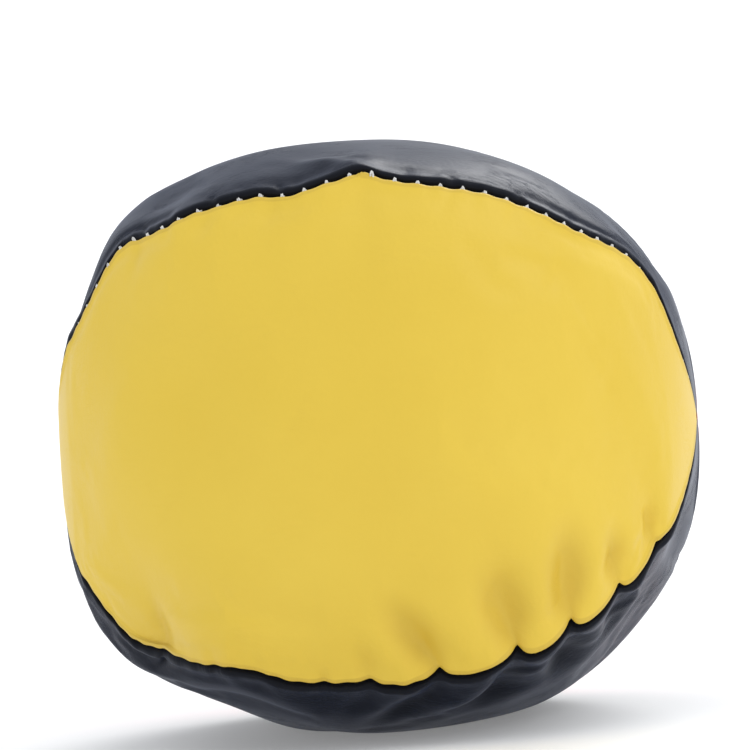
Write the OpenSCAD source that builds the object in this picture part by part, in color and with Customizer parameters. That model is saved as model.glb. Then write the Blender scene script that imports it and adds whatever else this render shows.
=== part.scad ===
// Four-panel juggling ball: four pointed panels of synthetic leather, sewn
// inside out, turned, filled with millet and closed by hand.
// The pole line, where the four panels' tips meet, lies along X.

/* [Cover] */
// Length from pole to pole
ball_len = 65; // [52:1:80]
// Width across the middle, from panel face to panel face
ball_w = 60.6; // [48:0.2:75]
// How far the seams stand out at the corners, as a share of half the width
corner_share = 0.85; // [0.8:0.01:0.9]
// Fullness of the ends: 2 is an ellipse, more is squarer
fullness = 2.25; // [2:0.05:2.5]
// Thickness of the synthetic leather
leather_t = 1; // [0.8:0.1:1.2]

/* [Seams] */
// Width of the turned-in edge of each panel
seam_allowance = 4.2; // [3.8:0.1:5]
// How far the rolled edges sink between the panels
groove_depth = 0.8; // [0.5:0.1:1]
// Distance from one stitch to the next
stitch_pitch = 2.4; // [2:0.1:3.2]
// Depth of the stitch line under the surface
stitch_depth = 2.2; // [2:0.1:2.6]
// Diameter of the sewing thread
thread_d = 0.4; // [0.3:0.05:0.5]
// Diameter of the hole that the needle leaves
needle_hole_d = 0.9; // [0.8:0.05:1]

/* [Closing seam] */
// Distance along the seam from the +X pole to the filling opening
closing_start = 15; // [10:1:30]
// Length of the filling opening, which is sewn up by hand
closing_len = 34; // [20:1:40]

/* [Rest] */
// How far the ball has rolled about its pole line, yellow panel upward
roll = 5; // [0:1:8]
// How much the soft ball flattens where it rests
rest_flat = 1; // [0.6:0.1:1.4]

/* [Hidden] */

YELLOW = [0.91, 0.78, 0.30];
RED = [0.74, 0.18, 0.17];
BLACK = [0.09, 0.10, 0.12];
THREAD = [0.88, 0.87, 0.84];
MILLET = [0.84, 0.68, 0.38];

// Each panel and the seam after it, counted round the pole line from the front.
FRONT = 0;
BOTTOM = 1;
BACK = 2;
TOP = 3;
PANELS = 4;

// How much a panel flattens from its middle to its seams.
bulge = 1 / pow(corner_share, 2) - 1;
// Height of the pole line above the resting face.
lowest = ball_w / 2 * sqrt(pow(cos(roll), 2) + pow(sin(roll), 2) / bulge);
pole_h = lowest - rest_flat;
// Air left between the filling and the cover.
fill_gap = 0.15;

rows = 30;
columns = 10;
thread_sides = 6;
// The rolled edge starts this far across a panel, as a share of its half width.
rolled_edge = 0.955;
// Half the distance between the two strands in one needle hole.
strand_gap = 0.24;
// The first and last stitch stand this far from a pole.
first_stitch = 4;
knot_d = 1.1;

// ---- the cover's shape ----

function signed_pow(v, e) = sign(v) * pow(abs(v), e);
// Place along the pole line, from 1 at the +X pole to -1 at the -X pole.
function along(theta) = signed_pow(cos(theta), 2 / fullness);
// Girth at that place, from 0 at the poles to 1 in the middle.
function girth(theta) = pow(sin(theta), 2 / fullness);

// A point of a panel that faces -Y: theta runs from pole to pole, and v from -1
// to 1 across. The inset is measured inward from the outer face.
function cover(theta, v, inset = 0) =
    let (
        half_w = ball_w / 2 - inset,
        w = half_w * corner_share * v,
        f = sqrt(half_w * half_w - bulge * w * w)
    )
    [(ball_len / 2 - inset) * along(theta), -f * girth(theta), w * girth(theta)];

// Turns a panel's point to its place round the pole line.
function turned(p, panel) =
    let (a = 90 * panel - roll)
    [p.x, p.y * cos(a) - p.z * sin(a), p.y * sin(a) + p.z * cos(a) + pole_h];

// The soft ball flattens where it meets the table: no point sinks below a level.
function rested(p, level) = [p.x, p.y, max(p.z, level)];

// ---- the seams, each in a frame of its own: X along the poles, Z outward ----

function seam(theta, inset) =
    let (r = sqrt(2) * (ball_w / 2 - inset) * corner_share)
    [(ball_len / 2 - inset) * along(theta), r * girth(theta)];

seam_step = 2;
seam_lengths = [
    for (
        t = 0, s = 0;
        t <= 180;
        s = s + norm(seam(t + seam_step, stitch_depth) - seam(t, stitch_depth)),
        t = t + seam_step
    ) [s, t]
];
seam_len = seam_lengths[len(seam_lengths) - 1][0];

// The stitch line's point at a distance from the +X pole, pushed off the seam
// by y, towards the panel before the seam where y is positive.
function stitch_at(s, y) =
    let (p = seam(lookup(s, seam_lengths), stitch_depth))
    [p.x, y, p.y];

stitches = floor((seam_len - 2 * first_stitch) / stitch_pitch);
function stitch_s(i) = seam_len / 2 + (i - stitches / 2) * stitch_pitch;
function is_closing(i) =
    stitch_s(i) > closing_start && stitch_s(i) < closing_start + closing_len;
closing_stitches = [for (i = [0:stitches]) if (is_closing(i)) i];

module on_seam(seam_no) {
    translate([0, 0, pole_h])
        rotate([135 + 90 * seam_no - roll, 0, 0])
            children();
}

// ---- the panels ----

// How far across the inner face the turned-in edge begins.
function inner_v(theta) =
    let (half = (ball_w / 2 - leather_t) * corner_share * max(girth(theta), 0.01))
    1 - min(0.45, sqrt(2) * leather_t / ((1 + bulge) * half));

// The turned-in edge's thickness, which thins towards the poles.
function edge_t(theta) =
    let (p = cover(theta, inner_v(theta), leather_t))
    (-p.y - p.z) / sqrt(2);

// One edge's two corners at its inner end: on the seam, and a thickness off it.
function turned_edge(theta, side) =
    let (
        p = cover(theta, side, seam_allowance),
        off = edge_t(theta) * [0, -1, -side] / sqrt(2)
    )
    [p, p + off];

// The closed outline of one row: outer face, one edge, inner face, other edge.
function panel_row(theta, panel, resting) =
    let (
        outer = [
            cover(theta, -1, groove_depth),
            for (j = [0:columns]) cover(theta, rolled_edge * (2 * j / columns - 1)),
            cover(theta, 1, groove_depth)
        ],
        top = turned_edge(theta, 1),
        low = turned_edge(theta, -1),
        v = inner_v(theta),
        inner = [for (j = [columns:-1:0]) cover(theta, v * (2 * j / columns - 1), leather_t)],
        floor_level = resting ? 0 : -1,
        inner_level = resting ? leather_t : -1
    )
    concat(
        [for (p = outer) rested(turned(p, panel), floor_level)],
        [turned(top[0], panel), turned(top[1], panel)],
        [for (p = inner) rested(turned(p, panel), inner_level)],
        [turned(low[1], panel), turned(low[0], panel)]
    );

// Joins rows of points that close at both poles into one skin.
module skin(row_points) {
    n = len(row_points[0]);
    last = len(row_points) - 2;
    polyhedron(
        points = [for (row = row_points, p = row) p],
        faces = [
            for (i = [0:last], j = [0:n - 1])
                let (a = i * n + j, b = i * n + (j + 1) % n)
                each [[a, b, b + n], [a, b + n, a + n]]
        ]
    );
}

module needle_holes(seam_no) {
    on_seam(seam_no)
        for (i = [0:stitches])
            translate(stitch_at(stitch_s(i), 0))
                rotate([90, 0, 0])
                    cylinder(h = 2 * leather_t + 1, d = needle_hole_d, center = true, $fn = 16);
}

module panel(panel_no, tint) {
    color(tint)
        difference() {
            skin([for (i = [0:rows]) panel_row(180 * i / rows, panel_no, panel_no == BOTTOM)]);
            needle_holes(panel_no);
            needle_holes((panel_no + PANELS - 1) % PANELS);
        }
}

// ---- the threads ----

// A thread swept along a path, with a ring of corners at each point.
module swept(path, radii) {
    n = len(path);
    rings = [
        for (i = [0:n - 1])
            let (
                run = path[min(i + 1, n - 1)] - path[max(i - 1, 0)],
                t = run / norm(run),
                side = cross(t, [0, 0, 1]),
                b = side / norm(side),
                c = cross(b, t)
            )
            for (k = [0:thread_sides - 1])
                let (a = 360 * k / thread_sides)
                path[i] + radii[i] * (cos(a) * b + sin(a) * c)
    ];
    polyhedron(
        points = rings,
        faces = concat(
            [[for (k = [thread_sides - 1:-1:0]) k]],
            [
                for (i = [0:n - 2], k = [0:thread_sides - 1])
                    let (a = i * thread_sides + k, b = i * thread_sides + (k + 1) % thread_sides)
                    each [[a, b, b + thread_sides], [a, b + thread_sides, a + thread_sides]]
            ],
            [[for (k = [0:thread_sides - 1]) (n - 1) * thread_sides + k]]
        )
    );
}

// One side of a machine lockstitch: it lies on the turned-in edge and dips into
// each needle hole, where it loops round the other thread.
module lockstitch(seam_no, side, from, to) {
    float_y = side * (leather_t + thread_d / 2);
    loop_y = side * thread_d / 2;
    path = [
        for (i = [from:to])
            let (s = stitch_s(i))
            each [
                stitch_at(s - strand_gap, float_y),
                stitch_at(s, loop_y),
                stitch_at(s + strand_gap, float_y)
            ]
    ];
    on_seam(seam_no) swept(path, [for (p = path) thread_d / 2]);
}

// A seam's thread on one side. The front lower seam stops at the filling
// opening and starts again after it.
module seam_thread(seam_no, side) {
    color(THREAD)
        if (seam_no == FRONT) {
            lockstitch(seam_no, side, 0, closing_stitches[0] - 1);
            lockstitch(seam_no, side, closing_stitches[len(closing_stitches) - 1] + 1, stitches);
        } else {
            lockstitch(seam_no, side, 0, stitches);
        }
}

// The hand-sewn ladder stitch: it runs behind one edge for a stitch, crosses
// through both edges, and runs behind the other, with a knot at each end.
module closing_thread() {
    reach = leather_t + thread_d / 2;
    last = len(closing_stitches) - 1;
    path = [
        for (n = [0:last])
            let (s = stitch_s(closing_stitches[n]), side = n % 2 == 0 ? 1 : -1)
            each [
                stitch_at(s - strand_gap / 4, side * reach),
                stitch_at(s + strand_gap / 4, -side * reach)
            ]
    ];
    color(THREAD)
        on_seam(FRONT) {
            swept(path, [for (p = path) thread_d / 2]);
            for (end = [path[0], path[len(path) - 1]])
                translate(end + [0, sign(end.y) * (knot_d - thread_d) / 2, 0])
                    sphere(d = knot_d, $fn = 64);
        }
}

// ---- the filling ----

// The filling stops short of the poles, where the turned-in edges crowd together.
fill_end = 15;
fill_inset = leather_t + fill_gap;
// Half the room that two turned-in edges, their threads and a knot take.
edges_room = leather_t + thread_d + knot_d + fill_gap;

function fill_v(theta) =
    let (half = (ball_w / 2 - fill_inset) * corner_share * girth(theta))
    1 - min(0.45, sqrt(2) * edges_room / ((1 + bulge) * half));

// One panel's share of a row: it starts and ends at the bottom of the slots that
// the turned-in edges stand in.
function fill_side(theta, panel) =
    let (v = fill_v(theta), slot = seam_allowance + fill_gap)
    concat(
        [turned(cover(theta, -v, slot), panel)],
        [
            for (j = [0:columns])
                rested(
                    turned(cover(theta, v * (2 * j / columns - 1), fill_inset), panel),
                    fill_inset
                )
        ],
        [turned(cover(theta, v, slot), panel)]
    );

function fill_row(theta) = [
    for (panel = [0:-1:1 - PANELS], p = fill_side(theta, panel)) p
];

// A row whose points all lie in the middle of an end, which closes it.
function fill_cap(theta) =
    let (middle = cover(theta, 0, seam_allowance + fill_gap))
    [for (p = fill_row(theta)) [middle.x, 0, pole_h]];

module millet_fill() {
    color(MILLET)
        skin(concat(
            [fill_cap(fill_end)],
            [for (i = [0:rows]) fill_row(fill_end + (180 - 2 * fill_end) * i / rows)],
            [fill_cap(180 - fill_end)]
        ));
}

panel(FRONT, YELLOW);  // yellow_panel
panel(BOTTOM, BLACK);  // lower_black_panel
panel(BACK, RED);  // red_panel
panel(TOP, BLACK);  // upper_black_panel
seam_thread(FRONT, 1);  // front_lower_needle_thread
seam_thread(BOTTOM, 1);  // back_lower_needle_thread
seam_thread(BACK, 1);  // back_upper_needle_thread
seam_thread(TOP, 1);  // front_upper_needle_thread
seam_thread(FRONT, -1);  // front_lower_bobbin_thread
seam_thread(BOTTOM, -1);  // back_lower_bobbin_thread
seam_thread(BACK, -1);  // back_upper_bobbin_thread
seam_thread(TOP, -1);  // front_upper_bobbin_thread
closing_thread();
millet_fill();
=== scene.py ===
# %% [markdown]
# # A four-panel juggling ball
#
# The ball is a bag of grain. Four pointed panels of synthetic leather are sewn together inside out,
# turned through a gap in one seam, filled with millet and closed by hand. Nothing in it is rigid, so
# its look comes from how the leather gives: full between the seams, pinched along them, and a little
# flat where it lies. This lesson builds the cover, the sewing and the filling around a fixed CAD frame,
# and then dresses and lights them.

# %% Load the frame
import math

import bmesh
import bpy
import numpy as np
from mathutils import Matrix, Vector


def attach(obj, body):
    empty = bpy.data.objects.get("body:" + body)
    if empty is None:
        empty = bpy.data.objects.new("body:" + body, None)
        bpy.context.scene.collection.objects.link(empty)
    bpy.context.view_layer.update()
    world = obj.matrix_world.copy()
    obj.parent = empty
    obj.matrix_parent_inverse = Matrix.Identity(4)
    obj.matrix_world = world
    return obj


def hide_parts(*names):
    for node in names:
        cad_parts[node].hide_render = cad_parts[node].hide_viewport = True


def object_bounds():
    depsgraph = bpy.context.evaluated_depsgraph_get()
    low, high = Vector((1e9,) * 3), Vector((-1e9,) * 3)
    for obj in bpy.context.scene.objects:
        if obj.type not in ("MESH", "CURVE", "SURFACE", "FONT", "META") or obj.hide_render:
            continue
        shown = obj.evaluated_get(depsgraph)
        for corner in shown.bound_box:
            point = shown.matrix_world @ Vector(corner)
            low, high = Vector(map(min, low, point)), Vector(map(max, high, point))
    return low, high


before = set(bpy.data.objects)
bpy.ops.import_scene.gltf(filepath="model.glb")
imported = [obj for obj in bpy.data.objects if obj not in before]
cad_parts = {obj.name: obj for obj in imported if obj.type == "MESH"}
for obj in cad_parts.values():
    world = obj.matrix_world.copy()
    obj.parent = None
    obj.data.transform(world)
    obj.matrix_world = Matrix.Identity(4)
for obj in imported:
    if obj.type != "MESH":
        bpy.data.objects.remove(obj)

cad_low, cad_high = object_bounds()
print("CAD box, in metres:", tuple(cad_low), tuple(cad_high))

# %% [markdown]
# ## The ball's own measures
#
# Everything is placed in the CAD frame: X is the pole line, where the panels' tips meet, the yellow
# panel looks towards -Y, and the ball rests on z = 0. The length comes from the frame. The others repeat
# the design's driving sizes, because a visual model may not change them.

# %% Driving sizes
MM = 0.001
HALF_LENGTH = (cad_high.x - cad_low.x) / 2
HALF_WIDTH = 30.3 * MM
CORNER_SHARE = 0.85      # how far the seams stand out, as a share of the half width
FULLNESS = 2.25          # 2 would make the ends elliptical
ROLL = math.radians(5)   # the ball has rolled this far about its pole line
REST_FLAT = 1.0 * MM     # how much it flattens where it lies
LEATHER = 1.0 * MM
ALLOWANCE = 4.2 * MM     # width of the turned-in edges
STITCH_PITCH = 2.3 * MM
OPENING = (15 * MM, 49 * MM)   # the stretch of the front lower seam that was left open for filling
BULGE = 1 / CORNER_SHARE**2 - 1
POLE_Z = (cad_high.z - REST_FLAT) / 2
BODY = "root"

PANELS = ("yellow_panel", "lower_black_panel", "red_panel", "upper_black_panel")
SEAMS = ("front_lower", "back_lower", "back_upper", "front_upper")
FRONT_LOWER, BACK_LOWER, BACK_UPPER, FRONT_UPPER = range(4)
print(f"pole line {POLE_Z / MM:.1f} mm up, ball {2 * HALF_LENGTH / MM:.1f} mm long")

# %% [markdown]
# ## A formula for the cover
#
# A panel could be drawn by hand with a subdivision surface, but four panels that must meet edge to edge
# are easier to keep true as a formula. Along the pole line the outline is a superellipse, which is a
# slightly squarer ellipse. Across the ball each panel is an arc that is flatter than a circle, so that
# the four seams stand out as soft corners. `theta` runs from the +X pole to the -X pole, and `v` from -1
# to 1 across a panel.

# %% The cover's surface
LEAST_GIRTH = 0.02       # keeps divisions in bounds at the poles


def along(theta):
    """Place along the pole line, 1 at the +X pole and -1 at the other."""
    c = np.cos(theta)
    return np.sign(c) * np.abs(c) ** (2 / FULLNESS)


def girth(theta):
    """Girth, 0 at the poles and 1 in the middle."""
    return np.clip(np.sin(theta), 0, 1) ** (2 / FULLNESS)


def panel_surface(theta, v):
    """Points and outward normals of a panel that faces -Y, before it is turned to its place."""
    g = girth(theta)
    w = HALF_WIDTH * CORNER_SHARE * v
    f = np.sqrt(HALF_WIDTH**2 - BULGE * w**2)
    x, y, z = np.broadcast_arrays(HALF_LENGTH * along(theta), -f * g, w * g)
    points = np.stack([x, y, z], axis=-1)
    flat = np.maximum(g, LEAST_GIRTH) ** (FULLNESS - 2) / HALF_WIDTH**2
    end = np.sign(x) * np.abs(x / HALF_LENGTH) ** (FULLNESS - 1) / HALF_LENGTH
    normals = np.stack(np.broadcast_arrays(end, flat * y, flat * BULGE * z), axis=-1)
    return points, normals / np.linalg.norm(normals, axis=-1, keepdims=True)


def turned(vectors, quarter):
    """Turns vectors about the pole line: a quarter turn for each panel, less the roll."""
    a = math.radians(90) * quarter - ROLL
    x, y, z = np.moveaxis(vectors, -1, 0)
    return np.stack([x, y * math.cos(a) - z * math.sin(a), y * math.sin(a) + z * math.cos(a)], axis=-1)


def seam_axes(seam):
    """A seam's outward direction, and the direction across it towards the panel before it."""
    a = math.radians(135 + 90 * seam) - ROLL
    outward = np.array([0, -math.sin(a), math.cos(a)])
    across = np.array([0, math.cos(a), math.sin(a)])
    return outward, across


# %% Arc length along a seam
table_theta = np.linspace(0, math.pi, 6001)
table_x = HALF_LENGTH * along(table_theta)
table_r = math.sqrt(2) * HALF_WIDTH * CORNER_SHARE * girth(table_theta)
table_s = np.concatenate([[0], np.cumsum(np.hypot(np.diff(table_x), np.diff(table_r)))])
SEAM_LENGTH = table_s[-1]


def theta_at(s):
    return np.interp(s, table_s, table_theta)


def s_at(x):
    """Distance along a seam from the +X pole to the place x on the pole line."""
    return np.interp(-x, -table_x, table_s)


print(f"each seam is {SEAM_LENGTH / MM:.1f} mm long, about {SEAM_LENGTH / STITCH_PITCH:.0f} stitches")

# %% [markdown]
# ## How the leather gives
#
# A sewn bag is never the formula's shape. Three things change it: the seams wander a little, because
# they were sewn by eye; the thread gathers the edges into creases; and the grain fills the panels
# unevenly. Sculpting would do this by brush. Here each kind is a small function of the place on the
# ball, so the same give moves the leather, the sewing and the filling together.

# %% Seam wander
# Each row: place on the pole line, sideways shift towards the panel before the seam, reach. In mm.
WANDER = {
    FRONT_LOWER: [(-25, -3.2, 7), (-13, 1.9, 5)],
    BACK_LOWER: [(-12, 0.5, 6), (2, -0.5, 6), (15, 0.6, 6)],
    BACK_UPPER: [(-18, -0.5, 5), (-4, 0.5, 5), (12, -0.6, 6)],
    FRONT_UPPER: [(-23.5, 2.6, 5), (-17, -0.3, 3), (-11, -0.35, 3), (-4.7, -0.9, 3), (2.4, 0.8, 2.0),
                  (9, -0.3, 4), (28.5, 2.7, 7)],
}
WANDER_FADE = 9 * MM

# Where the hand stitches gather the leather, the edge hangs in lobes between cusps. Places and drops
# in mm.
CUSPS = [0.3, 7.3, 15.1, 20.4, 25.2, 28.6]
LOBES = [0.5, 0.5, 0.75, 0.7, 0.7]
EARLY, LATE = 0.6, 0.85  # how blunt a lobe starts and ends, along the seam
LOBE_PEAK = 2.67         # makes a lobe's lowest point 1 before it is sized
EVENED = 0.45            # how fast the lobes blend into one another, away from the edge
BLENDS = np.linspace(-1, 1, 7)


def lobes(s, d=0.0):
    """How far the edge hangs below the line through its cusps, smoother at a distance d from it."""
    drop = np.zeros(np.broadcast(s, d).shape)
    for first, last, size in zip(CUSPS, CUSPS[1:], LOBES):
        for blend in BLENDS:
            t = (s + blend * EVENED * d - s_at(first * MM)) / (s_at(last * MM) - s_at(first * MM))
            t = np.clip(t, 0, 1)
            drop = drop + size * MM * LOBE_PEAK * t**EARLY * (1 - t) ** LATE / len(BLENDS)
    return drop


def wander(seam, s, d=0.0):
    """How far a seam lies to the side of its plane, and the leather at a distance d with it."""
    shift = -lobes(s, d) if seam == FRONT_LOWER else np.zeros(np.broadcast(s, d).shape)
    for x, size, reach in WANDER[seam]:
        shift = shift + size * MM * np.exp(-((s - s_at(x * MM)) / (reach * MM)) ** 2)
    return shift


# %% Creases
# Each row: place on the pole line, depth, width, reach into the panel before the seam, reach into the
# one after it, slant. In mm, and the slant in mm sideways for each mm inward.
CREASES = {
    FRONT_LOWER: [
        (28.6, 1.1, 0.5, 6, 8, 0.1), (25.2, 1.5, 0.45, 8, 10, 0.05), (20.4, 2.3, 0.45, 11, 12, 0.0),
        (15.1, 2.3, 0.5, 11, 12, 0.18), (7.3, 1.8, 0.6, 10, 11, 0.45), (0.3, 0.6, 1.0, 6, 7, 0.2),
        (-4.5, 0.4, 1.3, 2.5, 6, 0.0), (-10.5, 0.3, 1.4, 3, 4, 0.1), (-21.5, 0.8, 2.4, 7, 3, 0.2),
    ],
    FRONT_UPPER: [
        (3.4, -0.5, 2.0, 9, 1.5, 1.0), (-5.6, 0.35, 1.5, 2, 5, 0.2), (-12.5, 0.35, 1.6, 2, 4, 0.2),
        (11.5, 0.25, 1.4, 2, 4, 0.1), (17.5, 0.3, 1.4, 2, 4, -0.1), (-20.5, 0.35, 1.6, 2, 5, 0.1),
    ],
    BACK_LOWER: [],
    BACK_UPPER: [],
}
SEED = 41
rng = np.random.default_rng(SEED)


def gathers(first, last, spacing, depth):
    """Small creases at uneven spacing, as the machine's tension gives them. All in mm."""
    rows, x = [], first
    while x < last:
        reach = rng.uniform(2.0, 5.0, 2)
        rows.append((x, depth * rng.uniform(0.4, 1.0), rng.uniform(0.9, 1.5), *reach, rng.uniform(-0.3, 0.3)))
        x += spacing * rng.uniform(0.7, 1.35)
    return rows


CREASES[BACK_LOWER] += gathers(-27, 28, spacing=5.2, depth=0.75)
CREASES[BACK_UPPER] += gathers(-27, 28, spacing=4.8, depth=0.5)
CREASES[FRONT_UPPER] += gathers(-27, 28, spacing=4.6, depth=0.14)
CREASES[FRONT_LOWER] += gathers(-27, 6, spacing=4.0, depth=0.16)

SLIT, HOLLOW = 0.75, 0.75   # a crease is a slit at the seam and a soft hollow beyond: shares of its depth
WIDENING = 0.2              # how fast a slit widens, away from the seam
ROUNDING, ROUNDER = 0.12 * MM, 0.16   # how rounded its bottom is at the seam, and how fast that grows
SHARP, BLUNT = 1.0, 3.0     # times that, in the panel before the seam and in the one after it
LEAN = 0.25                 # extra slant in the panel after the seam
HOLLOW_WIDTH, HOLLOW_AT, HOLLOW_LENGTH = 0.22, 0.5, 0.35   # as shares of the crease's reach
PUFF = 0.45                 # how far a lobe stands out, for how far it hangs
PUFF_REACH = 4 * MM


def crease_depth(seam, side, s, d):
    """How deep the leather is drawn in, at d from the seam. side is 1 for the panel before the seam."""
    depth = np.zeros(np.broadcast(s, d).shape)
    if seam == FRONT_LOWER:
        depth = depth - PUFF * lobes(s, d) * np.exp(-((d / PUFF_REACH) ** 2))
    for x, deep, width, before, after, slant in CREASES[seam]:
        reach = (before if side > 0 else after) * MM
        away = s - s_at(x * MM) - (slant if side > 0 else slant + LEAN) * d
        soft = np.hypot(away, (SHARP if side > 0 else BLUNT) * (ROUNDING + ROUNDER * d))
        slit = np.exp(-soft / (width * MM + WIDENING * d)) * np.exp(-((d / reach) ** 1.5))
        hollow = np.exp(-((away / (HOLLOW_WIDTH * reach)) ** 2))
        hollow = hollow * np.exp(-(((d / reach - HOLLOW_AT) / HOLLOW_LENGTH) ** 2))
        depth += deep * MM * (SLIT * slit + HOLLOW * hollow)
    return depth


# %% Pulled in at each stitch
PULL_DEPTH = 0.09 * MM
PULL_REACH = 1.1 * MM
HAND_PULL = 0.2          # the ladder stitch pulls the edge in far less, for a machine's 1


def is_hand_sewn(seam, s):
    """The filling opening, which was closed by hand."""
    return (seam == FRONT_LOWER) & (s > OPENING[0]) & (s < OPENING[1])


def stitch_pull(seam, s, d):
    """The edge puffs out between stitches and is pulled in at each one."""
    phase = np.cos(2 * math.pi * (s - SEAM_LENGTH / 2) / STITCH_PITCH)
    strength = np.where(is_hand_sewn(seam, s), HAND_PULL, 1.0)
    return PULL_DEPTH * strength * phase * np.exp(-((d / PULL_REACH) ** 2))


# %% Dents and swellings
# Each row: place x, y, z from the ball's middle, height, reach. In mm. Minus is a dent.
SWELLINGS = [
    (-22, -21, -15, -0.9, 5), (-28, -6, -16, 1.4, 8), (-16, -24, -18, 0.6, 5), (-28, -4, 14, -0.9, 6),
    (-14, -4, 27, 0.6, 8), (24, -4, -16, -1.7, 9), (8, 28, 6, -0.8, 12), (-18, 22, -14, 0.8, 10),
    (10, 0, 29, -0.4, 9), (-21, -4, 23, 1.0, 7), (-18, -4, -25, -1.0, 8), (28, -4, 14, -0.8, 6),
    (-25, -4, -19, -1.2, 7), (30, -3, -10, -0.6, 6), (20, 0, 22, -0.7, 9),
]
LUMP_COUNT = 14
lump_waves = rng.normal(size=(LUMP_COUNT, 3))
lump_lengths = rng.uniform(13, 26, LUMP_COUNT) * MM
lump_waves *= (2 * math.pi / lump_lengths / np.linalg.norm(lump_waves, axis=1))[:, None]
lump_phases = rng.uniform(0, 2 * math.pi, LUMP_COUNT)
LUMP_SIZE = 0.05 * MM


def swelling(points):
    """Height of the uneven filling under a point, measured from the ball's middle."""
    height = LUMP_SIZE * np.sin(points @ lump_waves.T + lump_phases).sum(axis=-1)
    for x, y, z, size, reach in SWELLINGS:
        away = np.linalg.norm(points - np.array([x, y, z]) * MM, axis=-1)
        height = height + size * MM * np.exp(-((away / (reach * MM)) ** 2))
    return height


# %% Resting on the table
EASE = 0.35 * MM         # how gently the flat at the foot begins


def rested(points):
    """Lifts the ball to its height and presses it flat, softly, where it meets the table."""
    placed = points + np.array([0, 0, POLE_Z])
    z = placed[..., 2]
    placed[..., 2] = (z + np.sqrt(z**2 + EASE**2)) / 2
    return placed


# %% [markdown]
# ## Letting the cover settle
#
# Between the seams the leather is in tension, and where the thread gathers it, it buckles. That is what
# a cloth solver is for. A coarse, closed copy of the cover is blown up a little while its seams shrink,
# for twenty frames, and how far each point has moved is kept. Its broad swelling is then taken out,
# because the ball's size is already right, and the wrinkles stay. The fine leather made later takes
# them on, so the simulation stays small and quick.

# %% A coarse cover to simulate
SIM_ROWS = 96
SIM_COLUMNS = 28
AROUND = (0, 3, 2, 1)     # the panels, in the order that v runs on from one to the next


def coarse_cover():
    """Vertices of a closed cover in rows, and its faces. A row goes once round the pole line."""
    s = np.linspace(0, SEAM_LENGTH, SIM_ROWS + 1)[1:-1, None]
    v = np.linspace(-1, 1, SIM_COLUMNS + 1)[None, :-1]
    rows = np.concatenate([turned(panel_surface(theta_at(s), v)[0], q) for q in AROUND], axis=1)
    count, round_ = rows.shape[:2]
    tips = np.array([[HALF_LENGTH, 0, 0], [-HALF_LENGTH, 0, 0]])
    verts = np.concatenate([rows.reshape(-1, 3), tips])
    faces = []
    for i in range(count - 1):
        for j in range(round_):
            k = (j + 1) % round_
            faces.append((i * round_ + j, i * round_ + k, (i + 1) * round_ + k, (i + 1) * round_ + j))
    last = (count - 1) * round_
    for j in range(round_):
        k = (j + 1) % round_
        faces.append((len(verts) - 2, k, j))
        faces.append((len(verts) - 1, last + j, last + k))
    return verts, faces, s.ravel(), v.ravel()


def gather_weights(s, v):
    """How strongly the thread shortens the leather at each point of the coarse cover."""
    weights = []
    for panel in AROUND:
        part = np.zeros((len(s), len(v)))
        for side in (-1, 1):
            seam = panel if side < 0 else (panel - 1) % 4
            d = HALF_WIDTH * CORNER_SHARE * girth(theta_at(s))[:, None] * (1 - side * v[None, :])
            pull = np.full_like(s, 0.2 if seam == FRONT_UPPER else 0.45)
            pull = np.where(is_hand_sewn(seam, s), 1.0, pull)
            part = np.maximum(part, pull[:, None] * np.exp(-((d / (1.6 * MM)) ** 2)))
        weights.append(part)
    return np.concatenate(weights, axis=1).ravel()


# %% Run the cloth
SIM_FRAMES = 20
KEPT = 0.35              # share of the cloth's wrinkles that stiff, filled leather shows
MOST_MOVE = 0.6 * MM
HELD_TIP = 2.5 * MM      # this much of each end stays where it is
BROAD = 7                # rows and columns either way over which a movement counts as swelling


def wrinkles_only(moved):
    """Takes the broad swelling out of a movement, because the ball's size is already right."""
    padded = np.pad(moved, ((BROAD, BROAD), (0, 0), (0, 0)), mode="edge")
    along_rows = sum(padded[k:k + len(moved)] for k in range(2 * BROAD + 1)) / (2 * BROAD + 1)
    broad = sum(np.roll(along_rows, k, axis=1) for k in range(-BROAD, BROAD + 1)) / (2 * BROAD + 1)
    return moved - broad


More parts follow.
